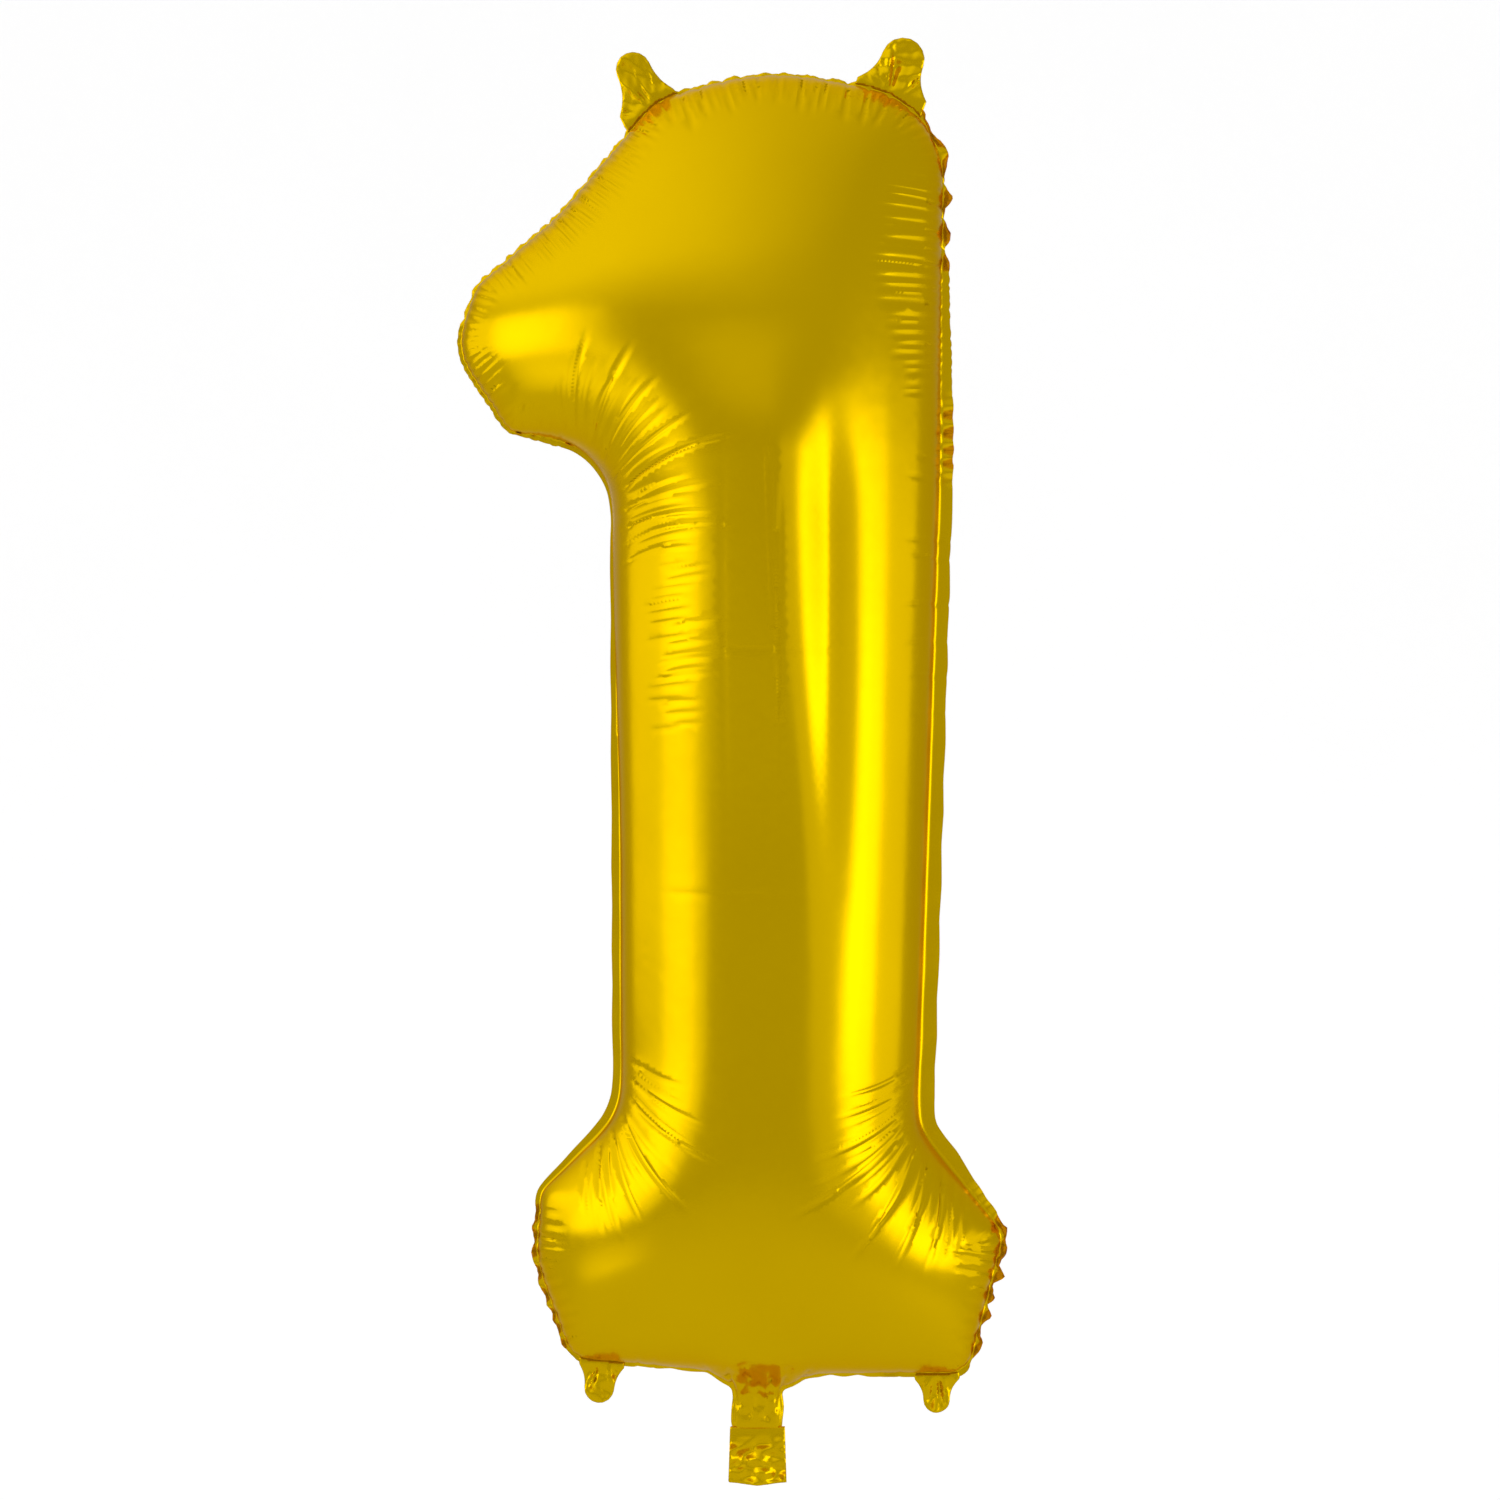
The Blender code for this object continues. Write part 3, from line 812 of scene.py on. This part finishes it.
def add_tail_sheet(name, node, side, seed, finish):
    """One sheet of the tail's lower half, from inside the neck's foot to the open mouth."""
    shared = np.random.default_rng(SEED + 40)
    rng = np.random.default_rng(seed)
    low, high = (np.array(c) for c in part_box(node))
    crease = joint("tail_fold")["pos_m"]
    outline = flat_loops(node, lambda f: f.normal.y * side > 0.9)[0]
    outline[outline[:, 1] > high[2] - 1e-5, 1] = crease[2] + TAIL_OVERLAP
    outline = evenly(outline, TAIL_EDGE_STEP)
    flat, faces = filled(outline, TAIL_STEP)
    across = (flat[:, 0] - crease[0]) / (0.5 * (high[0] - low[0]))
    down = np.clip((crease[2] - flat[:, 1]) / (crease[2] - low[2]), 0, 1)
    loose = smoothstep(*TAIL_LOOSE, down)
    both = crumple(shared, flat, *TAIL_CRUMPLE) * loose
    both += TAIL_TWIST * np.sin(3 * across + 2 * down) * loose
    unsealed = 1 - smoothstep(*TAIL_SEAL, np.abs(across))
    own = np.abs(crumple(rng, flat, *SHEET_CRUMPLE) * loose) * unsealed
    mouth = MOUTH_OPEN * down**1.5 * np.cos(np.clip(across / 0.8, -1, 1) * math.pi / 2) * unsealed
    inner = FILM_GAP + mouth + own
    outer = inner + TAIL_THICK
    near, far = both + side * outer, both + side * inner
    obj = add_shell(name, flat, len(outline), faces, near, far, finish, side > 0)
    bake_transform(obj)
    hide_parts(node)
    return obj


TAIL_EDGE_STEP, TAIL_STEP = 1.2 * MM, 1.5 * MM
TAIL_OVERLAP = 4.5 * MM  # how far the sheet reaches up into the neck
TAIL_THICK = 0.25 * MM
TAIL_LOOSE = (0.02, 0.3)  # share of its length over which it comes loose below the crease
TAIL_SEAL = (0.72, 0.86)  # share of its half width at which its welded edges begin
TAIL_CRUMPLE = (14 * MM, 2.4 * MM)  # size of the facets and their depth, shared by both sheets
SHEET_CRUMPLE = (8 * MM, 0.25 * MM)  # and each sheet's own
TAIL_TWIST = 1.2 * MM
MOUTH_OPEN = 2.2 * MM


def add_valve_film(name, node, body, side, finish):
    """One clear valve film: a thin strip that bows a little off its twin between its sealed edges."""
    outline = evenly(flat_loops(node, lambda f: f.normal.y * side > 0.9)[0], VALVE_EDGE_STEP)
    flat, faces = filled(outline, VALVE_STEP)
    low, high = (np.array(c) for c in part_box(node))
    across = (flat[:, 0] - 0.5 * (low[0] + high[0])) / (0.5 * (high[0] - low[0]))
    up = (flat[:, 1] - low[2]) / (high[2] - low[2])
    bow = VALVE_BOW * np.cos(across * math.pi / 2) * np.sin(up * math.pi) ** 0.5
    ripple = VALVE_RIPPLE * np.sin(flat[:, 1] / (4 * MM) + 2 * across)
    inner = FILM_GAP + VALVE_GAP + bow + ripple
    near, far = side * (inner + VALVE_THICK), side * inner
    obj = add_shell(name, flat, len(outline), faces, near, far, finish, side > 0)
    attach(obj, body)
    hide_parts(node)
    return obj


VALVE_EDGE_STEP, VALVE_STEP = 2.5 * MM, 3 * MM
VALVE_GAP = 0.05 * MM
VALVE_BOW, VALVE_RIPPLE = 0.25 * MM, 0.05 * MM
VALVE_THICK = 0.12 * MM


# ---------------------------------------------------------------- materials

GOLD_LIGHT = (0.93, 0.60, 0.0)
GOLD_DEEP = (0.88, 0.56, 0.0)
GOLD_EDGE = (0.95, 0.76, 0.38)  # what the film reflects at a grazing angle
GOLD_ROUGH = (0.2, 0.26)


def new_material(name):
    made = bpy.data.materials.new(name)
    made.use_nodes = True
    tree = made.node_tree
    return made, tree, tree.nodes["Principled BSDF"]


def noise(tree, where, scale, detail=3.0, rough=0.5):
    node = tree.nodes.new("ShaderNodeTexNoise")
    node.inputs["Scale"].default_value = scale
    node.inputs["Detail"].default_value = detail
    node.inputs["Roughness"].default_value = rough
    tree.links.new(where, node.inputs["Vector"])
    return node.outputs["Fac"]


def ranged(tree, value, low, high, from_low=0.3, from_high=0.7):
    node = tree.nodes.new("ShaderNodeMapRange")
    numbers = {"From Min": from_low, "From Max": from_high, "To Min": low, "To Max": high}
    for socket, number in numbers.items():
        node.inputs[socket].default_value = number
    tree.links.new(value, node.inputs["Value"])
    return node.outputs["Result"]


def calculated(tree, how, first, second):
    node = tree.nodes.new("ShaderNodeMath")
    node.operation = how
    for socket, value in zip(node.inputs, (first, second)):
        if isinstance(value, (int, float)):
            socket.default_value = value
        else:
            tree.links.new(value, socket)
    return node.outputs[0]


def bumped(tree, height, distance, strength=1.0, under=None):
    node = tree.nodes.new("ShaderNodeBump")
    node.inputs["Distance"].default_value = distance
    node.inputs["Strength"].default_value = strength
    tree.links.new(height, node.inputs["Height"])
    if under is not None:
        tree.links.new(under, node.inputs["Normal"])
    return node.outputs["Normal"]


def mixed(tree, share, first, second):
    node = tree.nodes.new("ShaderNodeMix")
    node.data_type = "RGBA"
    tree.links.new(share, node.inputs["Factor"])
    node.inputs["A"].default_value = (*first, 1)
    node.inputs["B"].default_value = (*second, 1)
    return node.outputs["Result"]


def foil_material(name, light, deep, rough_low, rough_high):
    """Metallised film: satin gold that varies a little, with wide soft waves and a fine grain."""
    made, tree, shader = new_material(name)
    where = tree.nodes.new("ShaderNodeTexCoord").outputs["Object"]
    shader.inputs["Metallic"].default_value = 1.0
    shader.inputs["IOR"].default_value = 1.45
    shader.inputs["Specular Tint"].default_value = (*GOLD_EDGE, 1)
    broad = noise(tree, where, 7)
    fine = noise(tree, where, 140, 4)
    tree.links.new(mixed(tree, ranged(tree, broad, 0, 1), light, deep), shader.inputs["Base Color"])
    parts = [calculated(tree, "MULTIPLY", part, share) for part, share in ((broad, 0.7), (fine, 0.3))]
    both = calculated(tree, "ADD", *parts)
    tree.links.new(ranged(tree, both, rough_low, rough_high, 0.35, 0.65), shader.inputs["Roughness"])
    waves = bumped(tree, noise(tree, where, 30, 2), 0.9 * MM, 0.2)
    grain = bumped(tree, noise(tree, where, 900, 2), 0.008 * MM, 0.4, waves)
    tree.links.new(grain, shader.inputs["Normal"])
    return made


def clear_material(name):
    """Clear, slightly cloudy plastic film."""
    made, tree, shader = new_material(name)
    where = tree.nodes.new("ShaderNodeTexCoord").outputs["Object"]
    shader.inputs["IOR"].default_value = 1.49
    shader.inputs["Transmission Weight"].default_value = 0.85
    cloud = noise(tree, where, 60, 4)
    tint = mixed(tree, ranged(tree, cloud, 0, 1), (0.86, 0.88, 0.86), (0.74, 0.77, 0.75))
    tree.links.new(tint, shader.inputs["Base Color"])
    tree.links.new(ranged(tree, cloud, 0.16, 0.34), shader.inputs["Roughness"])
    tree.links.new(bumped(tree, noise(tree, where, 240, 3), 0.1 * MM, 0.5), shader.inputs["Normal"])
    return made


def stage_material(name, colour, glow):
    """Matt studio paper, which may glow."""
    made, tree, shader = new_material(name)
    where = tree.nodes.new("ShaderNodeTexCoord").outputs["Object"]
    cloud = noise(tree, where, 3, 4)
    darker = tuple(0.985 * c for c in colour)
    tree.links.new(mixed(tree, ranged(tree, cloud, 0, 1), colour, darker), shader.inputs["Base Color"])
    tree.links.new(ranged(tree, cloud, 0.85, 0.95), shader.inputs["Roughness"])
    shader.inputs["Emission Color"].default_value = (1, 1, 1, 1)
    shader.inputs["Emission Strength"].default_value = glow
    return made


# ---------------------------------------------------------------- studio

# Lengths in metres, and glow and levels as radiances
FLOOR_DROP = 0.62  # from the balloon's lowest point
FLOOR_HALF = 6.0
WALL_PLACE = 5.2  # behind the camera of a view from the back
WALL_HALF = 1.1
WALL_TOP = 0.68
WALL_GLOW = 0.56
WORLD_LEVEL = 0.43
CEILING_LEVEL = 0.66
CEILING_TILT = 0.22  # how much brighter the ceiling's left side is, and how much darker its right
CEILING_RISE = (0.16, 0.5)  # heights of a direction, 1 for straight up, where it starts and is full
CEILING_SIDE = 0.7  # how far aside a direction is, 1 for level, where that side is reached in full
# What the soft boxes point at
FLAG_TARGET = (-0.14, 0, -0.2)
LEFT_TARGET = (-0.02, 0, -0.16)
RIGHT_TARGET = (-0.02, 0, -0.6)
# Soft boxes: target, azimuth and elevation, distance, width and height, radiance, spread
PANELS = {
    "left_soft": (LEFT_TARGET, -90, 0, 1.9, (3.2, 0.95), 0.55, 180),
    "left_strip": (LEFT_TARGET, -75, 0, 1.75, (1.0, 1.0), 0.64, 76),
    "flag_low": (FLAG_TARGET, -66, -30, 1.3, (0.9, 0.7), 0.62, 54),
    "right_far": (RIGHT_TARGET, 84, 0, 1.9, (2.4, 0.95), 0.42, 180),
    "right_near": (RIGHT_TARGET, 50, 0, 2.6, (1.9, 1.0), 0.2, 180),
    "right_strip": (RIGHT_TARGET, 70, 0, 1.75, (0.85, 0.85), 0.8, 180),
}
FRAME_SIDE = 0.9  # how much the picture spans at the balloon, which is what the photo spans
CAMERA_DISTANCE = 4.2
VIEW_RIGHT = 10.2 * MM  # the picture's middle from the balloon's middle
VIEW_UP = 6.8 * MM
SENSOR = 36


def add_stage(floor_finish, wall_finish):
    """A wide floor, and a lit paper wall behind the balloon."""
    floor_z = CAD_BOX[0][2] - FLOOR_DROP
    corners = ((-1, -1), (1, -1), (1, 1), (-1, 1))
    floor = np.array([(x * FLOOR_HALF, y * FLOOR_HALF, floor_z) for x, y in corners])
    wall = np.array([(x * WALL_HALF, WALL_PLACE, WALL_TOP if up > 0 else floor_z) for x, up in corners])
    add_mesh("studio_floor", floor, [[0, 1, 2, 3]], floor_finish)
    add_mesh("studio_wall", wall, [[0, 1, 2, 3]], wall_finish)


def add_panel(name, target, azimuth, elevation, distance, size, radiance, spread_angle):
    """A soft box that faces target. Azimuth 0 is in front of the balloon and 90 to its right."""
    turn, rise = math.radians(azimuth), math.radians(elevation)
    way = Vector((math.sin(turn) * math.cos(rise), -math.cos(turn) * math.cos(rise), math.sin(rise)))
    data = bpy.data.lights.new(name, "AREA")
    data.shape = "RECTANGLE"
    data.size, data.size_y = size
    data.energy = radiance * math.pi * size[0] * size[1]
    half = math.radians(spread_angle / 2)
    data.spread = 2 * half
    if spread_angle < 180:
        data.energy *= 1 - half / math.tan(half)  # a narrow light is brighter for the same power
    lamp = bpy.data.objects.new(name, data)
    bpy.context.scene.collection.objects.link(lamp)
    lamp.location = Vector(target) + way * distance
    lamp.rotation_euler = (-way).to_track_quat("-Z", "Y").to_euler()


def add_camera():
    data = bpy.data.cameras.new("camera")
    data.sensor_width = SENSOR
    data.lens = SENSOR * CAMERA_DISTANCE / FRAME_SIDE
    camera = bpy.data.objects.new("camera", data)
    bpy.context.scene.collection.objects.link(camera)
    middle = np.mean(CAD_BOX, axis=0)
    camera.location = (middle[0] + VIEW_RIGHT, -CAMERA_DISTANCE, middle[2] + VIEW_UP)
    camera.rotation_euler = (math.pi / 2, 0, 0)
    bpy.context.scene.camera = camera


def set_world():
    """Even grey walls, and a paler ceiling above the horizon that is brighter on the left."""
    world = bpy.data.worlds.new("studio")
    world.use_nodes = True
    tree = world.node_tree
    where = tree.nodes.new("ShaderNodeTexCoord").outputs["Generated"]
    split = tree.nodes.new("ShaderNodeSeparateXYZ")
    tree.links.new(where, split.inputs[0])
    rise = ranged(tree, split.outputs["Z"], 0, 1, *CEILING_RISE)
    extra = CEILING_LEVEL - WORLD_LEVEL
    bright, dark = extra + CEILING_TILT, extra - CEILING_TILT
    side = ranged(tree, split.outputs["X"], bright, dark, -CEILING_SIDE, CEILING_SIDE)
    glow = calculated(tree, "ADD", calculated(tree, "MULTIPLY", rise, side), WORLD_LEVEL)
    tree.links.new(glow, tree.nodes["Background"].inputs["Strength"])
    tree.nodes["Background"].inputs["Color"].default_value = (1, 1, 1, 1)
    bpy.context.scene.world = world


def main():
    gold = foil_material("gold_film", GOLD_LIGHT, GOLD_DEEP, *GOLD_ROUGH)
    clear = clear_material("clear_film")
    pale = stage_material("studio_floor_paper", (0.78, 0.78, 0.78), 0)
    lit = stage_material("studio_wall_paper", (0.8, 0.8, 0.8), WALL_GLOW)
    front = add_film("front_film", "front_panel", -1, gold)
    back = add_film("back_film", "back_panel", 1, gold)
    tabs = [add_tab(name, SEED + 10 + k, gold) for k, name in enumerate(TABS)]
    tail_front = add_tail_sheet("tail_front_film", "tail_front_sheet", -1, SEED + 20, gold)
    tail_back = add_tail_sheet("tail_back_film", "tail_back_sheet", 1, SEED + 21, gold)
    for name, side in (("front", -1), ("back", 1)):
        strip = add_valve_film(f"valve_{name}_strip", f"valve_{name}_film", f"valve_{name}", side, clear)
    add_stage(pale, lit)
    set_world()
    for name, panel in PANELS.items():
        add_panel(name, *panel)
    add_camera()
    bpy.context.scene.view_settings.view_transform = "Standard"


main()
